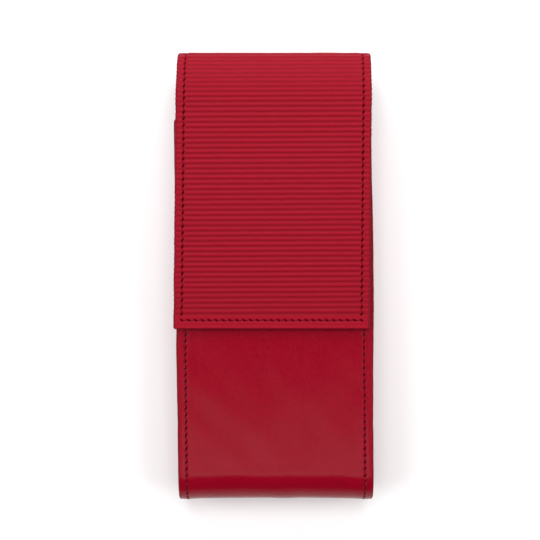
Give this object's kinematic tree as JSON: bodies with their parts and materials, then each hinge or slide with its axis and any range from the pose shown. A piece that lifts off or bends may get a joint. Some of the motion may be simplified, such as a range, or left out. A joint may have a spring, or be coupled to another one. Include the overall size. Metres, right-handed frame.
{
  "type": "flap pen case",
  "caption": "Leather flap case with a ribbed back and flap over a smooth pouch, rounded bottom end, rolled top and divided pen channels inside.",
  "frame": {"origin": "centre of the case's outline, in the plane its back lies on", "axes": "+X across the case, +Y from the rounded bottom end to the rolled top, +Z from the back to the flap"},
  "size_m": [0.072, 0.168, 0.0262],
  "materials": {
    "ribbed_leather": "embossed ribs, semi-gloss, deep red",
    "smooth_leather": "smooth, semi-gloss, deep red",
    "gusset_leather": "smooth, satin, deep red",
    "divider_leather": "suede, matte, dark red",
    "lining": "microsuede, matte, dark red",
    "board": "fibreboard, matte",
    "magnet": "nickel plated",
    "keeper": "plain steel disc",
    "thread": "twisted polyester, red"
  },
  "bodies": {
    "case": {"front_cover": "smooth_leather", "back_cover": "ribbed_leather", "left_gusset": "gusset_leather", "right_gusset": "gusset_leather", "left_gusset_lining": "lining", "right_gusset_lining": "lining", "front_board": "board", "back_board": "board", "pouch_lining": "lining", "neck_lining": "lining", "left_divider": "divider_leather", "right_divider": "divider_leather", "left_keeper": "keeper", "right_keeper": "keeper", "left_seam_thread": "thread", "right_seam_thread": "thread", "lap_thread": "thread", "mouth_thread": "thread"},
    "lower_roll": {"lower_roll_cover": "ribbed_leather", "lower_roll_lining": "lining", "lower_roll_thread": "thread"},
    "middle_roll": {"middle_roll_cover": "ribbed_leather", "middle_roll_lining": "lining", "middle_roll_thread": "thread"},
    "upper_roll": {"upper_roll_cover": "ribbed_leather", "upper_roll_lining": "lining", "upper_roll_thread": "thread"},
    "flap": {"flap_cover": "ribbed_leather", "flap_board": "board", "flap_lining": "lining", "left_magnet": "magnet", "right_magnet": "magnet", "flap_thread": "thread"}
  },
  "joints": [
    {"name": "fold_lower", "type": "hinge", "parent": "case", "child": "lower_roll", "pos_m": [0, 0.07536, 0.00107], "axis": [-1, 0, 0], "range_deg": [0, 45]},
    {"name": "fold_middle", "type": "hinge", "parent": "lower_roll", "child": "middle_roll", "pos_m": [0, 0.08293, 0.00864], "axis": [-1, 0, 0], "range_deg": [0, 45.01]},
    {"name": "fold_upper", "type": "hinge", "parent": "middle_roll", "child": "upper_roll", "pos_m": [0, 0.08326, 0.01735], "axis": [-1, 0, 0], "range_deg": [0, 49.56]},
    {"name": "fold_flap", "type": "hinge", "parent": "upper_roll", "child": "flap", "pos_m": [0, 0.07344, 0.02462], "axis": [-1, 0, 0], "range_deg": [0, 40.46]}
  ],
  "couplings": [
    {"joint": "fold_middle", "follows": "fold_lower", "ratio": 1},
    {"joint": "fold_upper", "follows": "fold_lower", "ratio": 1.1011},
    {"joint": "fold_flap", "follows": "fold_lower", "ratio": 0.89889}
  ]
}
